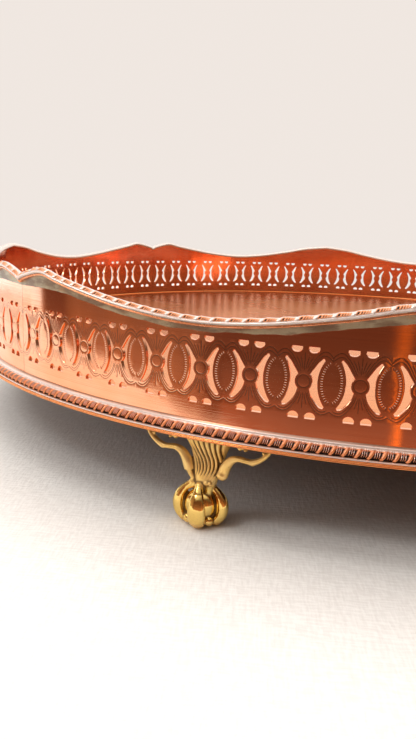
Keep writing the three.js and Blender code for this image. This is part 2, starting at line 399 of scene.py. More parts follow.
def half_moon(flat, crown):
    """Half-moon with its flat edge at one height and its crown at another."""
    middle, half_width, corner = 1.86, 1.24, 0.10
    way = math.copysign(1, crown - flat)
    shoulder = flat + 0.32 * way
    a = np.radians(np.linspace(0, 180, 15))
    curve = np.column_stack([middle - half_width * np.cos(a), shoulder + (crown - shoulder) * np.sin(a)])
    back = [(middle + half_width, flat + corner * way), (middle + half_width - corner, flat),
            (middle - half_width + corner, flat), (middle - half_width, flat + corner * way)]
    loop = np.vstack([curve, back])
    return loop if way < 0 else loop[::-1]


def grown(loop, amount):
    return loop + amount * outward_of(loop)


def oval_strokes(count=19, half_length=0.36):
    """Short cuts across the oval's outline, on the half of it that this half unit holds."""
    wide, tall = OVAL_HALF_WIDTH, OVAL_HALF_HEIGHT
    a = np.radians(np.linspace(0, 360, 721))
    oval = np.column_stack([wide * np.cos(a), tall * np.sin(a)])
    run = np.concatenate([[0], np.cumsum(np.linalg.norm(np.diff(oval, axis=0), axis=1))])
    at = np.interp((np.arange(2 * count) + 0.5) / (2 * count) * run[-1], run, a)
    strokes = []
    for angle in at[(at > math.pi / 2) & (at < 3 * math.pi / 2)]:
        middle = np.array([HALF_UNIT + wide * math.cos(angle), tall * math.sin(angle)])
        out = unit(np.array([math.cos(angle) / wide, math.sin(angle) / tall]))
        strokes.append(middle + half_length * np.array([[-1], [-0.6], [0.6], [1]]) * out)
    return strokes


def chased_lines():
    """Engraved lines: bead ring, palmette fans, and the double arches over each pair of crescents."""
    h = HALF_UNIT
    curves = [
        [(0, 2.3), (0, 3.6), (0, 5.0), (0, 6.7)],
        [(0.28, 2.6), (0.52, 3.9), (1.0, 5.75)],
        [(0.62, 2.7), (1.15, 4.2), (1.95, 5.65)],
        [(0.62, 2.0), (1.32, 3.3), (2.1, 4.75), (3.0, 6.0), (3.9, 6.75), (4.75, 6.8), (5.5, 6.3), (h, 5.55)],
        [(1.05, 2.05), (1.62, 2.95), (2.42, 4.35), (3.2, 5.4), (3.95, 5.95), (4.65, 5.95), (5.3, 5.55),
         (h, 4.95)],
        [(0, -2.3), (0, -3.6), (0, -5.2), (0, -6.2)],
        [(0.28, -2.6), (0.55, -3.8), (1.05, -5.4)],
        [(0.62, -2.1), (1.0, -3.5), (1.75, -4.95), (2.7, -6.2), (3.7, -6.95), (4.7, -7.0), (5.5, -6.65),
         (h, -6.3)],
        [(1.02, -2.3), (1.35, -3.4), (2.1, -4.75), (3.05, -5.85), (3.85, -6.4), (4.7, -6.4), (5.4, -6.05)],
    ]
    lines = [smooth_through(c, 4) for c in curves]
    lines.append(arc((0, 0), 1.42, 90, -90, 13))
    return lines


class HalfUnit:
    """The flat half unit of the pierced band: points, triangles, and what each point carries."""

    def __init__(self):
        self.points, self.edges, self.tracks = [], [], []
        low, high = FLOOR_TOP - ROW_HEIGHT, BAND_TOP
        self.holes = [crescent(), half_moon(7.66, 6.35), half_moon(-8.42, -7.0)]
        self.cut_loops = [grown(loop, EDGE_ROUND) for loop in self.holes]
        for loop in self.cut_loops:
            self.chain([*loop, loop[0]])
        for line in chased_lines():
            self.groove(line, GROOVE_HALF_WIDTH, GROOVE_DEPTH)
        for stroke in oval_strokes():
            self.groove(stroke, STROKE_HALF_WIDTH, STROKE_DEPTH, stroke=True)
        heights = np.linspace(low, high, 23)
        for u in (0.0, HALF_UNIT):
            on_side = [p for p in self.points if abs(p[0] - u) < 1e-6]
            extra = [(u, v) for v in heights if all(abs(p[1] - v) > 0.25 for p in on_side)]
            ends = [(u, low), (u, high)]
            column = sorted({(u, float(p[1])) for p in [*on_side, *extra, *ends]}, key=lambda p: p[1])
            self.chain(column)
        for v in (low, high):
            self.chain([(u, v) for u in np.linspace(0, HALF_UNIT, 7)])
        for ring in (0.45, 0.9):
            self.points += [tuple(p) for p in arc((0, 0), ring, 75, -75, 5)]
        self.triangulate(low, high)

    def chain(self, line):
        start = len(self.points)
        self.points += [(float(u), float(v)) for u, v in line]
        self.edges += [(i, i + 1) for i in range(start, len(self.points) - 1)]

    def groove(self, line, half_width, depth, stroke=False):
        """A V cut: its deepest line and its two edges, narrowing to a point where it ends."""
        along = unit(np.gradient(line, axis=0))
        across = np.column_stack([-along[:, 1], along[:, 0]])
        width = np.full(len(line), half_width)
        on_side = [min(abs(p[0]), abs(p[0] - HALF_UNIT)) < 1e-6 for p in line]
        for end, step in ((0, 1), (-1, -1)):
            if not on_side[end] or on_side[end + step]:
                width[end] = 0.0
                if not stroke:
                    width[end + step] *= 0.8
        self.tracks.append((line, width, depth, stroke))
        self.chain(line)
        for hand in (1, -1):
            side = line + hand * across * width[:, None]
            for i, at_side in enumerate(on_side):
                if at_side and not all(on_side):
                    side[i, 0] = line[i, 0]
            if side[:, 0].min() > -1e-9 and side[:, 0].max() < HALF_UNIT + 1e-9:
                self.chain(side)

    def cut(self, points):
        """Depth below the sheet's face, and how far each point lies in a line or in a stroke."""
        depth, dark, bright = (np.zeros(len(points)) for _ in range(3))
        for line, width, deep, stroke in self.tracks:
            # the line itself, and its mirror images beyond the half unit's two sides
            for hand, shift in ((1, 0), (-1, 0), (-1, 2 * HALF_UNIT)):
                copy = line * (hand, 1) + (shift, 0)
                for a, b, wa, wb in zip(copy[:-1], copy[1:], width[:-1], width[1:]):
                    ab = b - a
                    t = np.clip(((points - a) @ ab) / (ab @ ab), 0, 1)
                    gap = np.linalg.norm(points - a - t[:, None] * ab, axis=1)
                    reach = np.maximum(wa + (wb - wa) * t, 1e-4)
                    share = np.clip(1 - gap / reach, 0, 1) * reach / width.max()
                    depth = np.maximum(depth, share * deep)
                    tone = bright if stroke else dark
                    np.maximum(tone, share, out=tone)
        distance = np.linalg.norm(points, axis=1)
        dome = np.clip(1 - (distance / BEAD_RADIUS) ** 2, 0, 1) * BEAD_HEIGHT
        return depth - dome, dark, bright

    def triangulate(self, low, high):
        fixed = np.array(self.points)
        self.points += self.fill_points(fixed, low, high)
        points, triangles = constrained(self.points, self.edges, self.holes)
        self.face = points, triangles
        self.depth, self.dark, self.bright = self.cut(points)
        self.inset = np.zeros_like(points)
        for loop, cut_loop in zip(self.holes, self.cut_loops):
            for true, edge in zip(loop, cut_loop):
                near = np.linalg.norm(points - edge, axis=1) < 1e-5
                self.inset[near] = true - edge
        # the back has the same outlines and no engraving
        rims = boundary_edges(triangles)
        used = np.unique(rims)
        index = {int(v): i for i, v in enumerate(used)}
        outline = points[used]
        back = [tuple(p) for p in outline] + self.fill_points(outline, low, high)
        self.back = constrained(back, [(index[int(a)], index[int(b)]) for a, b in rims], self.holes)

    def fill_points(self, taken, low, high, spacing=1.0, clear=0.3):
        """Staggered rows of points, clear of those that are there already and of the holes."""
        filling = []
        for k, v in enumerate(np.arange(low + spacing / 2, high, spacing * 0.87)):
            for u in np.arange(spacing * (0.5 + 0.5 * (k % 2)), HALF_UNIT - clear, spacing):
                p = np.array([u, v])
                in_hole = any(inside(p[None], hole)[0] for hole in self.holes)
                if not in_hole and np.min(np.linalg.norm(taken - p, axis=1)) > clear:
                    filling.append((float(u), float(v)))
        return filling


def inside(points, loop):
    """Which points lie inside a closed loop."""
    result = np.zeros(len(points), bool)
    for (x0, y0), (x1, y1) in zip(loop, np.roll(loop, -1, 0)):
        crosses = (y0 > points[:, 1]) != (y1 > points[:, 1])
        with np.errstate(divide="ignore", invalid="ignore"):
            x = x0 + (points[:, 1] - y0) / (y1 - y0) * (x1 - x0)
        result ^= crosses & (points[:, 0] < x)
    return result


def boundary_edges(triangles):
    """Directed edges that only one triangle uses."""
    directed = np.vstack([triangles[:, side] for side in ([0, 1], [1, 2], [2, 0])])
    _, first, count = np.unique(np.sort(directed, 1), axis=0, return_index=True, return_counts=True)
    return directed[first[count == 1]]


def constrained(points, edges, holes):
    """Delaunay triangles that keep every edge, without those inside a hole."""
    found, _, faces, origins, _, _ = delaunay_2d_cdt([Vector(p) for p in points], edges, [], 0, 1e-5)
    out = np.array([points[o[0]] if o else tuple(p) for p, o in zip(found, origins)], float)
    triangles = np.array(faces)
    a, b, c = (out[triangles[:, i]] for i in range(3))
    area = np.cross(b - a, c - a)
    triangles[area < 0] = triangles[area < 0][:, ::-1]
    keep = np.abs(area) > 1e-9
    middle = (a + b + c) / 3
    for hole in holes:
        keep &= ~inside(middle, hole)
    return out, triangles[keep]


def to_weld(points):
    """Places as whole numbers of WELD_STEP."""
    return np.round(points / WELD_STEP).astype(np.int64)


def welded(points, triangles, carried):
    """Points that share a place become one."""
    _, first, where = np.unique(to_weld(points), axis=0, return_index=True, return_inverse=True)
    triangles = where.ravel()[triangles]
    distinct = np.all(triangles != np.roll(triangles, 1, axis=1), axis=1)
    return points[first], triangles[distinct], [c[first] for c in carried]


def panel_sheet(points, triangles, carried):
    """A whole panel's flat sheet from its half unit: units side by side, and the plain strip above."""
    pts, tris, extras = [], [], [[] for _ in carried]
    for number in range(UNITS_PER_PANEL):
        middle = (number - (UNITS_PER_PANEL - 1) / 2) * PITCH
        for hand in (1, -1):
            tris.append((triangles if hand > 0 else triangles[:, ::-1]) + sum(map(len, pts)))
            pts.append(points * (hand, 1) + (middle, ROW_HEIGHT))
            for store, value in zip(extras, carried):
                store.append(value * (hand, 1) if value.ndim == 2 else value)
    bottom = ROW_HEIGHT + BAND_TOP
    band = np.vstack(pts)
    columns = np.unique(np.round(band[np.abs(band[:, 1] - bottom) < 1e-6, 0], 9))
    rows = np.linspace(0, 1, 6)[:, None]
    top = rim_height(columns / WALL_RADIUS)
    shape = len(rows), len(columns)
    grid = np.stack([np.broadcast_to(columns, shape), bottom + rows * (top - bottom)], -1).reshape(-1, 2)
    quads = len(band) + grid_quads(*shape)
    tris += [quads[:, [0, 1, 2]], quads[:, [0, 2, 3]]]
    pts.append(grid)
    for store, value in zip(extras, carried):
        store.append(np.zeros((len(grid), *value.shape[1:])))
    return welded(np.vstack(pts), np.vstack(tris), [np.concatenate(e) for e in extras])


def tide_height(angle):
    """Lower edge of the solder tide: the rim's line evened out over a few degrees, and lower."""
    spread = np.radians(np.linspace(-6, 6, 13))
    return np.mean([rim_height(np.abs(angle + d)) for d in spread], 0) - TIDE_DROP


def gallery_panels(material):
    half = HalfUnit()
    face, face_tris, (depth, dark, bright, inset) = panel_sheet(
        *half.face, [half.depth, half.dark, half.bright, half.inset])
    back, back_tris, _ = panel_sheet(*half.back, [])
    rims = boundary_edges(face_tris)
    rim_points = np.unique(rims)
    ring = {int(v): i for i, v in enumerate(rim_points)}
    back_at = {tuple(place): i for i, place in enumerate(to_weld(back).tolist())}
    n_face, n_ring = len(face), len(rim_points)
    back_start = n_face + 2 * n_ring
    behind = [back_start + back_at[tuple(place)] for place in to_weld(face[rim_points]).tolist()]
    faces = [tuple(t) for t in face_tris.tolist()]
    faces += [tuple(t[::-1]) for t in (back_tris + back_start).tolist()]
    for a, b in rims.tolist():
        ia, ib = ring[a], ring[b]
        a1, b1 = n_face + ia, n_face + ib
        a2, b2 = a1 + n_ring, b1 + n_ring
        faces += [(b, a, a1, b1), (b1, a1, a2, b2), (b2, a2, behind[ia], behind[ib])]
    cut_edge = (face + inset)[rim_points]
    flat = np.vstack([face, cut_edge, cut_edge, back])
    radius = WALL_RADIUS - np.concatenate([
        depth, np.full(n_ring, EDGE_ROUND), np.full(n_ring, SHEET - EDGE_ROUND), np.full(len(back), SHEET)])
    width = UNITS_PER_PANEL * PITCH
    angle = flat[:, 0] * (1 - SEAM / width) / WALL_RADIUS
    points = on_circle(radius, angle, flat[:, 1])
    rest = np.zeros(2 * n_ring + len(back))
    outside = np.concatenate([np.ones(n_face), np.zeros(len(rest))])
    for k in range(QUARTERS):
        make_piece(
            f"pierced_gallery_{k + 1}", f"gallery_panel_{k + 1}",
            turned(points, k * math.pi / 2), faces, material,
            {"around": flat[:, 0] + k * width, "height": flat[:, 1], "outside": outside,
             "groove": np.concatenate([dark, rest]), "stroke": np.concatenate([bright, rest]),
             "below_tide": tide_height(angle) - flat[:, 1]})


# ---- Strips that run round the wall
# A strip's section is a row of (out, up, t). t runs from 0 at the stamped face's foot to 1 at its head,
# or marks a part of the section that carries no stamped relief.
PLAIN, SOLDERED = -1.0, -2.0


def marked(points, mark=PLAIN):
    return [(out, up, mark) for out, up in points]


def stamped_face(points):
    curve = smooth_through(points, 2)
    return np.column_stack([curve, np.linspace(0, 1, len(curve))]).tolist()


def quarter_strips(kind, node, section, base, repeats, samples, relief, material):
    """Four bars, one to a quarter. relief(phase, t) gives how far the face moves out, up, and its tone."""
    outline, t = np.array(section)[:, :2], np.array(section)[:, 2]
    normal = outward_of(outline)
    columns = repeats * samples + 1
    half = math.pi / QUARTERS - SEAM / 2 / WALL_RADIUS
    angle = np.linspace(-half, half, columns)[:, None]
    phase = (np.arange(columns) / samples)[:, None] % 1.0
    moved = relief(phase, np.maximum(t, 0)[None, :])
    outward, upward, tone = (np.where(t >= 0, value, bare) * np.ones((columns, 1))
                             for value, bare in zip(moved, (0, 0, 0.9)))
    out = outline[:, 0] + outward * normal[:, 0]
    up = outline[:, 1] + outward * normal[:, 1] + upward
    points = on_circle(WALL_RADIUS + out, angle, base(angle) + up).reshape(-1, 3)
    rows = len(section)
    last = (columns - 1) * rows
    faces = grid_quads(columns, rows, closed_rows=True)[:, [0, 3, 2, 1]].tolist()
    faces += [range(rows), range(last + rows - 1, last - 1, -1)]
    solder = np.tile((t == SOLDERED).astype(float), columns)
    for q in range(QUARTERS):
        make_piece(f"{kind}_{q + 1}", f"{node}_{q + 1}", turned(points, q * math.pi / 2), faces,
                   material, {"relief": tone.ravel(), "solder": solder}, 60)


def gadroon_relief(phase, t):
    """One broad S-shaped leaf leaning to the right, then three thin reeds, over a sunk ground."""
    lean = 0.60 * (t - 0.5)
    wave = 0.05 * np.sin(2 * math.pi * t)
    apart = lambda middle, slope: (phase - middle - slope * lean - wave + 0.5) % 1.0 - 0.5
    rounded = lambda offset, half_width: np.sqrt(np.clip(1 - (offset / half_width) ** 2, 0, 1))
    from_leaf = apart(0.2, 1.0)
    leaf = rounded(from_leaf, 0.15 + 0.05 * np.sin(math.pi * t)) * smoothstep(-0.02, 0.10, t)
    reeds = sum(rounded(apart(middle, 0.62), 0.046) for middle in (0.49, 0.66, 0.83))
    reeds = reeds * smoothstep(0.08, 0.25, t)
    join = smoothstep(0.70, 0.98, t)
    height = np.maximum(leaf, 0.85 * reeds) * (1 - join) + 0.75 * join
    # painted highlight: the tone rises towards the face's top, and along the leaf's left edge
    painted_top_highlight = smoothstep(0.25, 0.75, t)
    lit = np.maximum(smoothstep(-0.07, -0.14, from_leaf), 0.3 * painted_top_highlight)
    tone = np.maximum(leaf * (0.55 + 0.45 * lit), reeds * (0.80 + 0.20 * painted_top_highlight))
    return -0.42 + 0.60 * height, 0, 0.08 + 0.90 * np.maximum(tone, join)


def rim_relief(phase, t):
    """Upright rib, then a shell-shaped lobe with slanting hollows, its top falling to the next rib."""
    rib = np.exp(-(np.minimum(phase, 1 - phase) / (0.060 - 0.030 * t)) ** 2)
    peak = 0.28
    crest = (1 - 0.75 * np.clip((phase - peak) / (1 - peak), 0, 1) ** 1.5
             - 0.8 * np.clip((peak - phase) / peak, 0, 1) ** 2)
    hollows = 0
    for middle, width, deep in ((0.24, 0.075, 1.0), (0.43, 0.05, 0.75), (0.57, 0.045, 0.7),
                                (0.71, 0.04, 0.6), (0.84, 0.035, 0.5)):
        across = phase - middle - 0.10 * (t - 0.5)
        hollows = np.maximum(hollows, deep * np.exp(-(across / width) ** 2))
    hollows = hollows * smoothstep(0.0, 0.2, t) * smoothstep(0.95, 0.65, t)
    outward = 0.20 * rib * (1 - 0.6 * t) - 0.34 * hollows
    upward = 0.34 * (crest - 0.6) * smoothstep(0.2, 1.0, t)
    return outward, upward, np.clip(0.84 + 0.16 * rib - hollows, 0, 1)


def gadroon_mounts(material):
    section = marked([(0.03, 0.84), (1.5, 0.82), (2.85, 0.82), (3.06, 0.9), (3.06, 1.06), (2.80, 1.20)])
    section += stamped_face([(2.62, 1.28), (2.78, 1.8), (2.62, 2.35), (2.25, 2.8), (1.75, 3.12),
                             (1.22, 3.28)])
    section += marked(arc((0.72, 3.42), 0.36, -25, 120, 5))
    section += marked([(0.25, 3.82), (0.03, 3.9), (0.03, 2.3)], SOLDERED)
    quarter_strips("gadroon_border", "gadroon_mount", section,
                   lambda angle: HEM_BOTTOM, 96, 38, gadroon_relief, material)


def rim_mounts(material):
    section = marked([(-1.15, 0.06), (0.2, 0.05)])
    section += marked([(1.10, 0.05), (1.20, 0.10), (1.22, 0.30)], SOLDERED)
    section += marked(arc((1.36, 0.56), 0.20, -105, 105, 9))
    section += stamped_face([(1.34, 0.84), (1.47, 0.98), (1.40, 1.18), (1.15, 1.40), (0.75, 1.56),
                             (0.35, 1.62)])
    section += marked([(-0.1, 1.55), (-0.6, 1.38), (-1.05, 1.08), (-1.28, 0.70), (-1.28, 0.25)])
    quarter_strips("rim_border", "rim_mount", section,
                   rim_height, 66, 22, rim_relief, material)


def rim_fillets(material):
    section = marked([(0.02, -0.55), *arc((0.72, -0.27), 0.32, -80, 80, 7), (0.02, 0.03)])
    quarter_strips("rim_fillet_strip", "rim_fillet", section,
                   rim_height, 84, 4, lambda phase, t: (0, 0, 0), material)


# ---- Floor, skirt and hem
def tray_base(material):
    inner = WALL_RADIUS - SHEET
    cove = arc((inner - 0.62, FLOOR_TOP + 0.6), 0.6, -90, -5, 6)
    edge = HEM_RADIUS - 0.24
    upper_bead = arc((edge, HEM_BOTTOM + 0.60), 0.23, 95, -50, 7)
    lower_bead = arc((edge, HEM_BOTTOM + 0.24), 0.235, 50, -95, 7)
    underside = np.vstack([
        [(HEM_RADIUS - 1.0, HEM_BOTTOM + 0.02), (inner + 0.6, HEM_BOTTOM + 0.02)],
        [(inner + 0.15, HEM_BOTTOM + 0.2), (inner, HEM_BOTTOM + 0.6), (inner, FLOOR_TOP - SHEET - 0.8)],
        arc((inner - 0.8, FLOOR_TOP - SHEET - 0.8), 0.8, 15, 90, 5),
        [(r, FLOOR_TOP - SHEET) for r in (150, 120, 80, 40)],
    ])
    profile = np.vstack([
        [(r, FLOOR_TOP) for r in (30, 60, 90, 120, 140, 152, 158)], cove,
        [(inner, FLOOR_TOP + 0.02), (inner, FLOOR_TOP - 0.04), (WALL_RADIUS, FLOOR_TOP - 0.04)],
        [(WALL_RADIUS, HEM_BOTTOM + 0.86), (WALL_RADIUS + 0.2, HEM_BOTTOM + 0.80)],
        [(HEM_RADIUS - 1.2, HEM_BOTTOM + 0.80), (HEM_RADIUS - 0.6, HEM_BOTTOM + 0.80)],
        upper_bead, lower_bead, underside,
    ])
    segments = 6 * QUARTERS * UNITS_PER_PANEL
    rings = on_circle(profile[:, 0], full_turn(segments), profile[:, 1])
    count = len(profile)
    points = np.vstack([rings.reshape(-1, 3), [(0, 0, FLOOR_TOP), (0, 0, FLOOR_TOP - SHEET)]])
    top, bottom = segments * count, segments * count + 1
    faces = grid_quads(segments, count, closed_columns=True).tolist()
    for i in range(segments):
        a, b = i * count, (i + 1) % segments * count
        faces += [(top, a, b), (bottom, b + count - 1, a + count - 1)]
    skirt_from = count - len(underside)
    under = np.append(np.tile(np.arange(count) >= skirt_from, segments), [False, True]).astype(float)
    make_piece("tray_floor", "tray_base", points, faces, material, {"under": under}, 40)


# ---- Claw-and-ball feet
# The foot's own frame: x along the rim, -y outward from the tray, z up from the table.
FOOT_AZIMUTH = math.radians(-20.6)
FOOT_RADIUS = 160.6
FOOT_VOXEL = 0.2
BALL_CENTRE = np.array([-1.2, -0.9, 4.9])
BALL_RADIUS = 4.15
CLAW_REACH = 5.55  # ball's middle to the middle of a toe
CLAW_SQUEEZE = 0.80  # the claw is shallower front to back than it is wide
CLAW_TURN = 10.0  # degrees that the claw is turned in the casting
WING_Y = -1.2
KNEE_RIBS = 4.0
HOLLOW_RANGE = 0.26  # from the highest ridge to the deepest hollow


class Lump:
    """Closed shapes gathered into one mesh, joined later by a voxel remesh."""

    def __init__(self):
        self.points, self.faces = [], []

    def rings(self, rings):
        """Skin over a row of rings, closed at both ends."""
        start, size = len(self.points), len(rings[0])
        self.points += np.vstack(rings).tolist()
        last = len(self.points) - size
        self.faces += (start + grid_quads(len(rings), size, closed_rows=True)).tolist()
        self.faces += [range(start + size - 1, start - 1, -1), range(last, last + size)]

    def ellipsoid(self, centre, half_widths, axes=np.eye(3)):
        """Half-widths along three axes, which are the foot's own unless they are given."""
        a, b, c = np.asarray(half_widths)[:, None] * axes
        turn = full_turn(24)
        pole = math.pi / 2 - 0.03
        self.rings([centre + math.cos(l) * (np.cos(turn) * a + np.sin(turn) * b) + math.sin(l) * c
                    for l in np.linspace(-pole, pole, 15)])

    def bar(self, path, half_across, half_deep, deep):
        """Rounded bar along a path; deep is the direction of its second half-width."""
        turn = full_turn(16)
        skin = []
        for p, d, a, h in zip(path, unit(np.gradient(path, axis=0)), half_across, half_deep):
            across = unit(np.cross(deep, d))
            skin.append(p + a * np.cos(turn) * across + h * np.sin(turn) * np.cross(d, across))
        self.rings(skin)


def add_claw(lump, turn):
    """One toe over the ball: a knuckle at the ankle, then a smooth petal down to the table."""
    ahead = np.array([math.sin(turn), -math.cos(turn), 0])
    side = np.array([math.cos(turn), math.sin(turn), 0])
    up = np.array([0, 0, 1.0])

    def at(degrees, reach):
        a = math.radians(degrees)
        return BALL_CENTRE + reach * (math.sin(a) * ahead + math.cos(a) * up)

    angles = np.linspace(8, 146, 19)
    path = np.array([at(a, CLAW_REACH - 0.75 * smoothstep(105, 150, a)) for a in angles])
    stops = [8, 22, 36, 50, 66, 84, 100, 116, 132, 146]
    across = np.interp(angles, stops, [1.0, 1.1, 1.15, 1.5, 2.0, 2.3, 2.35, 2.25, 2.1, 1.2])
    thick = np.interp(angles, stops, [1.1, 1.2, 0.95, 1.05, 1.4, 1.65, 1.6, 1.5, 1.5, 1.0])
    lump.bar(path, thick, across, side)
    lump.ellipsoid(at(22, CLAW_REACH + 0.35), (0.95, 1.1, 0.95), np.array([ahead, side, up]))


def add_wing(lump, hand):
    """Scroll wing: rises beside the ankle, arches, and runs out to a tip under the hem.

    The right wing starts at a round bulb, the left one in a tapered point over the ankle.
    """
    spine = smooth_through([(4.35, 13.5), (4.7, 14.8), (5.35, 16.3), (6.5, 17.75), (8.1, 18.45), (9.9, 18.35),
                            (11.7, 18.3), (13.2, 19.0), (14.6, 20.1), (15.5, 21.2), (15.9, 22.0)], 4)
    run = np.linspace(0, 1, len(spine))
    height = np.interp(run, [0, 0.12, 0.25, 0.4, 0.55, 0.62, 0.75, 0.9, 1],
                       [1.35, 1.4, 1.15, 0.72, 0.62, 0.78, 0.62, 0.52, 0.3])
    depth = np.interp(run, [0, 0.2, 0.5, 0.9, 1], [1.25, 1.25, 1.0, 0.8, 0.5])
    standing = lambda x, z: np.column_stack([x, np.full(len(x), WING_Y), z])
    lump.bar(standing(hand * spine[:, 0], spine[:, 1]), height, depth, (0, 1, 0))
    if hand > 0:
        lump.ellipsoid((4.4, -1.35, 13.75), (1.45, 1.4, 1.35))
    else:
        point = smooth_through([(-4.6, 14.6), (-4.0, 12.9), (-3.0, 11.4), (-2.0, 10.6)], 3)
        taper = np.linspace(1.0, 0.45, len(point))
        lump.bar(standing(*point.T), taper, taper + 0.1, (0, 1, 0))
    lump.ellipsoid((hand * 11.7, WING_Y, 18.0), (0.8, 0.8, 0.62))
    for x, z, r in ((8.4, 21.2, 0.75), (9.8, 20.9, 0.5), (14.2, 21.1, 0.45)):
        lump.ellipsoid((hand * x, -1.0, z), (r, 0.8, r))


def add_knee(lump):
    """Knee: slim above the ball, spreading like a fan up to the tray's skirt."""
    turn = full_turn(28)[:, 0]
    squared = np.sign(np.cos(turn)) * np.abs(np.cos(turn)) ** 0.8
    rings = []
    for z, half, front, rear in (
            (7.8, 1.9, -2.4, 1.6), (9.9, 2.35, -2.6, 1.8), (11.2, 2.7, -2.9, 1.9), (13, 3.1, -2.7, 2.2),
            (15, 3.6, -2.3, 2.5), (17, 4.1, -2.0, 2.7), (19, 4.8, -2.1, 2.7), (20.6, 5.6, -2.5, 2.5),
            (21.9, 6.3, -3.0, 2.1), (22.2, 6.3, -3.0, 0.6)):
        y = (front + rear) / 2 + (rear - front) / 2 * np.sin(turn)
        rings.append(np.column_stack([half * squared, y, np.full_like(turn, z)]))
    lump.rings(rings)
    for x in (0.85, 1.95):
        lump.ellipsoid((x, -2.85, 11.3), (0.5, 0.5, 0.55))


def remeshed(lump):
    """The lump's outer skin as an even mesh, in millimetres."""
    mesh = bpy.data.meshes.new("foot_lump")
    mesh.from_pydata(lump.points, [], lump.faces)
    draft = bpy.data.objects.new("foot_lump", mesh)
    bpy.context.scene.collection.objects.link(draft)
    modifier = draft.modifiers.new("skin", "REMESH")
    modifier.mode = "VOXEL"
    modifier.voxel_size = FOOT_VOXEL
    skin = draft.evaluated_get(bpy.context.evaluated_depsgraph_get()).to_mesh()
    points = np.empty(3 * len(skin.vertices))
    skin.vertices.foreach_get("co", points)
    faces = [tuple(p.vertices) for p in skin.polygons]
    edges = np.empty(2 * len(skin.edges), np.int64)
    skin.edges.foreach_get("vertices", edges)
    bpy.data.objects.remove(draft)
    bpy.data.meshes.remove(mesh)
    return points.reshape(-1, 3), faces, edges.reshape(-1, 2)


def evened(values, edges, rounds):
    """Each point moves towards the mean of its neighbours, over and over."""
    degree = np.bincount(edges.ravel(), minlength=len(values)).astype(float)[:, None]
    values = values.copy()
    for _ in range(rounds):
        total = np.zeros_like(values)
        np.add.at(total, edges[:, 0], values[edges[:, 1]])
        np.add.at(total, edges[:, 1], values[edges[:, 0]])
        values = 0.4 * values + 0.6 * total / degree
    return values


def point_normals(points, faces):
    quads = np.array([f if len(f) == 4 else (*f, f[-1]) for f in faces])
    across = np.cross(points[quads[:, 2]] - points[quads[:, 0]], points[quads[:, 3]] - points[quads[:, 1]])
    normals = np.zeros_like(points)
    for corner in range(4):
        np.add.at(normals, quads[:, corner], across)
    return normals / np.maximum(np.linalg.norm(normals, axis=1), 1e-12)[:, None]


def carve_acanthus(points, normals):
    """Fan of leaf ribs on the knee's front, bending to the right as they rise."""
    x, y, z = points.T
    half = np.interp(z, [11, 13, 15, 17, 19, 20.6, 22], [2.6, 3.0, 3.5, 4.1, 4.8, 5.6, 6.4])
    bend = 1.05 * np.sin((z - 12) * 0.16 * math.pi)
    place = (x - bend) / half
    valley = 1 - np.abs(np.sin(math.pi * (KNEE_RIBS * place + 0.5)))
    front = smoothstep(-0.05, 0.45, -normals[:, 1]) * smoothstep(1.12, 0.95, np.abs(place))
    amount = 0.80 * front * smoothstep(11.8, 15.5, z) * valley**1.3
    scroll_wing = np.abs(x) > half + 0.2
    return points - normals * np.where(scroll_wing, 0, amount)[:, None]


def claw_feet(material):
    lump = Lump()
    lump.ellipsoid(BALL_CENTRE, (BALL_RADIUS,) * 3)
    for turn in np.radians(CLAW_TURN + np.arange(0, 360, 90)):
        add_claw(lump, turn)
        # a small knob between this toe and the next
        lump.ellipsoid(BALL_CENTRE + on_circle(3.7, turn + math.pi / 4, -3.1), (1.2,) * 3)
    add_knee(lump)
    for hand in (1, -1):
        add_wing(lump, hand)
    points, faces, edges = remeshed(lump)
    points = evened(points, edges, 3)
    points = evened(carve_acanthus(points, point_normals(points, faces)), edges, 1)
    squeeze = np.interp(points[:, 2], [9, 12], [CLAW_SQUEEZE, 1.0])
    points[:, 1] = BALL_CENTRE[1] + squeeze * (points[:, 1] - BALL_CENTRE[1])
    z = points[:, 2] = np.maximum(points[:, 2], 0)
    normals = point_normals(points, faces)
    sunk = np.einsum("ij,ij->i", evened(points, edges, 25) - points, normals)
    hollow = np.clip(0.5 + sunk / HOLLOW_RANGE, 0, 1)
    buffed = smoothstep(11.0, 9.8, z) * smoothstep(0.8, 2.6, z)
    for k in range(QUARTERS):
        placed = turned(points + (0, -FOOT_RADIUS, 0), FOOT_AZIMUTH + k * math.pi / 2)
        make_piece(f"brass_foot_{k + 1}", f"claw_foot_{k + 1}", placed, faces, material,
                   {"hollow": hollow, "buffed": buffed}, 180)


# ---- Stage, lights and camera
CAMERA_RADIUS = 296.9  # from the tray's axis
CAMERA_AZIMUTH = math.radians(-9.23)
CAMERA_HEIGHT = 71.4
CAMERA_YAW = math.radians(3.95)
CAMERA_PITCH = math.radians(12.99)
CAMERA_ROLL = math.radians(2.35)
CAMERA_LENS = 30.86
SENSOR = 36.0


def add_camera():
    data = bpy.data.cameras.new("camera")
    data.sensor_fit = "VERTICAL"
    data.sensor_height = SENSOR
    data.lens = CAMERA_LENS
    data.clip_start = 0.005
    camera = bpy.data.objects.new("camera", data)
    place = on_circle(CAMERA_RADIUS, CAMERA_AZIMUTH, CAMERA_HEIGHT) * MM
    camera.matrix_world = (
        Matrix.Translation(Vector(place)) @ Matrix.Rotation(CAMERA_YAW, 4, "Z")
        @ Matrix.Rotation(math.pi / 2 - CAMERA_PITCH, 4, "X") @ Matrix.Rotation(CAMERA_ROLL, 4, "Z"))
    bpy.context.scene.collection.objects.link(camera)
    bpy.context.scene.camera = camera


BACKDROP = (0.87, 0.80, 0.75)
SKY_GAIN = 1.25  # the unseen part of the backdrop is this much brighter
SKY_SIDE = (-0.30, 0.50, 0.80)  # towards the bright part
DIM_ROOM = (0.13, 0.09, 0.07)
CLOTH_LOW, CLOTH_HIGH = (0.72, 0.70, 0.67), (0.80, 0.785, 0.755)
FLOOR_HALF = 6.0  # metres


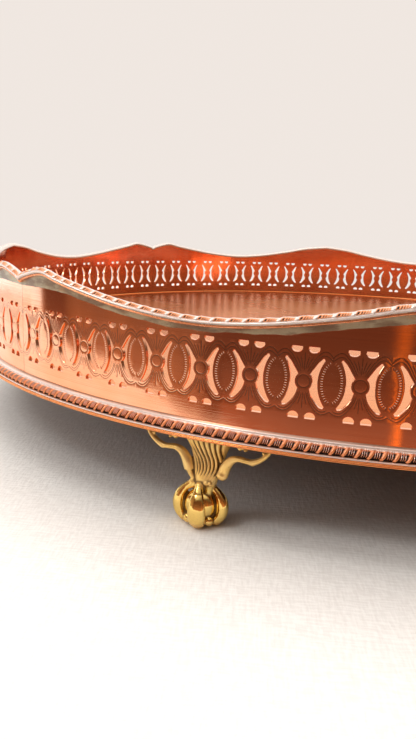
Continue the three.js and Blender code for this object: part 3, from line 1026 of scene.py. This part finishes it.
def pale_floor():
    """Woven cloth near the tray, passing into the backdrop's own tone away from it."""
    n = surface("pale_floor")
    place = n.object_place()
    weave = n.noise(place, (1400, 260), detail=2.0)
    other = n.noise(place, (260, 1400), detail=2.0)
    cloth = n.math("ADD", weave, other)
    color = n.mix(n.between(cloth, 0.7, 1.3), CLOTH_LOW, CLOTH_HIGH)
    material = n.finish(color, 0.9, n.bump(cloth, 0.0003, 0.35), metallic=0.0)
    distance = n.add("ShaderNodeVectorMath", {0: place}, operation="LENGTH")
    away = n.between(distance.outputs["Value"], 0.30, 0.65)
    n.shader.inputs["Specular IOR Level"].default_value = 0.0
    n.link(n.mix(away, (0, 0, 0), BACKDROP), n.shader.inputs["Emission Color"])
    n.shader.inputs["Emission Strength"].default_value = 1.0
    n.link(n.mix(away, color, (0, 0, 0)), n.shader.inputs["Base Color"])
    corners = [(FLOOR_HALF * x, FLOOR_HALF * y, 0) for x, y in ((-1, -1), (1, -1), (1, 1), (-1, 1))]
    mesh_object("floor", corners, [(0, 1, 2, 3)], material)


def add_world():
    """Bright backdrop behind the tray, a dim room on the side that the tray is seen from."""
    bpy.context.scene.world = bpy.data.worlds.new("studio")
    n = Nodes(bpy.context.scene.world)
    background = n.tree.nodes["Background"]
    direction = n.add("ShaderNodeTexCoord").outputs["Generated"]
    behind = n.add("ShaderNodeVectorMath", {0: direction, 1: SKY_SIDE}, operation="DOT_PRODUCT")
    seen = n.add("ShaderNodeLightPath").outputs["Is Camera Ray"]
    amount = n.math("MAXIMUM", n.between(behind.outputs["Value"], 0.0, 0.5), seen)
    n.link(n.mix(amount, DIM_ROOM, BACKDROP), background.inputs["Color"])
    n.link(n.between(seen, 0.0, 1.0, SKY_GAIN, 1.0), background.inputs["Strength"])


def add_area(name, place, target, size, power, color):
    data = bpy.data.lights.new(name, "AREA")
    data.shape = "RECTANGLE"
    data.size, data.size_y = size
    data.energy = power
    data.color = color
    light = bpy.data.objects.new(name, data)
    place, target = Vector(place), Vector(target)
    aim = (target - place).to_track_quat("-Z", "Y").to_matrix().to_4x4()
    light.matrix_world = Matrix.Translation(place) @ aim
    light.visible_camera = False
    bpy.context.scene.collection.objects.link(light)
    return light


def add_lights():
    key = add_area("key", (-0.45, 0.30, 1.2), (0, 0, 0.03), (1.2, 1.2), 11.8, (1.0, 0.99, 0.97))
    top = add_area("top", (0.35, 0.30, 1.2), (0, 0, 0.03), (0.8, 0.8), 4, (1.0, 0.98, 0.96))
    key.visible_glossy = top.visible_glossy = False
    add_area("left", (-1.1, -0.35, 0.38), (-0.1, -0.1, 0.02), (0.45, 0.35), 2.2, (0.97, 0.98, 1.0))
    add_area("sparkle", (-0.7, -0.6, 1.0), (-0.05, -0.15, 0.02), (0.3, 0.3), 2.6, (1.0, 1.0, 1.0))


# Tones of the studio cards, whose reflections give the polished wall its bands.
DIM = (0.15, 0.065, 0.04)
DUSK = (0.26, 0.14, 0.09)
WARM = (0.30, 0.165, 0.10)
GLOW = (0.60, 0.19, 0.04)
BRIGHT = (0.95, 1.05, 1.15)
# Each card's foot as x, y in millimetres and tone, from left to right.
SIDE_CARD = [
    (-250, 420, BRIGHT), (-420, 300, BRIGHT), (-470, 120, BRIGHT), (-445, -20, BRIGHT), (-303, -74, BRIGHT),
    (-253, -94, WARM), (-213, -108, DIM), (-190, -123, DIM), (-173, -139, WARM), (-156, -150, DUSK),
    (-143, -160, WARM), (-133, -170, DUSK), (-124, -181, WARM), (-115, -195, DUSK), (-108, -208, DIM),
    (-105, -214, DIM)]
FRONT_CARD = [
    (-105, -214, DIM), (-60, -212, DIM), (-17, -214, DIM), (-16, -214, GLOW), (-13, -214, GLOW),
    (-12, -214, DIM), (40, -214, DIM), (120, -190, DIM), (200, -130, DIM), (260, -20, WARM)]


def add_card(name, material, foot, bottom, top, levels):
    """Standing strip; levels are (share of the height, gain of the foot's tone)."""
    points, tones = [], []
    for x, y, color in foot:
        low = bottom(x)
        points += [(x * MM, y * MM, (low + share * (top - low)) * MM) for share, _ in levels]
        tones += [(*(gain * c for c in color), 1) for _, gain in levels]
    card = mesh_object(name, points, grid_quads(len(foot), len(levels)).tolist(), material)
    layer = card.data.attributes.new("tone", "FLOAT_COLOR", "POINT")
    layer.data.foreach_set("color", np.array(tones, np.float32).ravel())
    card.visible_camera = card.visible_diffuse = card.visible_shadow = card.visible_transmission = False


def add_cards():
    """Studio cards that only show in reflections: one to the left, one in front."""
    n = Nodes(bpy.data.materials.new("card"))
    n.tree.nodes.clear()
    tone = n.add("ShaderNodeAttribute", attribute_name="tone").outputs["Color"]
    n.add("ShaderNodeOutputMaterial", {0: n.add("ShaderNodeEmission", {"Color": tone}).outputs[0]})
    side_bottom = lambda x: np.interp(x, [-425, -213, -143, -124, -110], [8, 22, 22, 13, 0])
    add_card("far_card", n.owner, SIDE_CARD, side_bottom, 62, ((0, 1.9), (0.45, 1.1), (1, 0.9)))
    add_card("near_card", n.owner, FRONT_CARD, lambda x: 0, 50,
             ((0, 3.6), (0.25, 2.1), (0.55, 1.1), (1, 0.9)))


# ---- Put together
gallery_panels(gallery_copper())
stamped = stamped_copper()
gadroon_mounts(stamped)
rim_mounts(stamped)
rim_fillets(plain_strip())
tray_base(floor_copper())
claw_feet(cast_brass())
pale_floor()
add_world()
add_lights()
add_cards()
add_camera()

bpy.context.scene.view_settings.view_transform = "Standard"
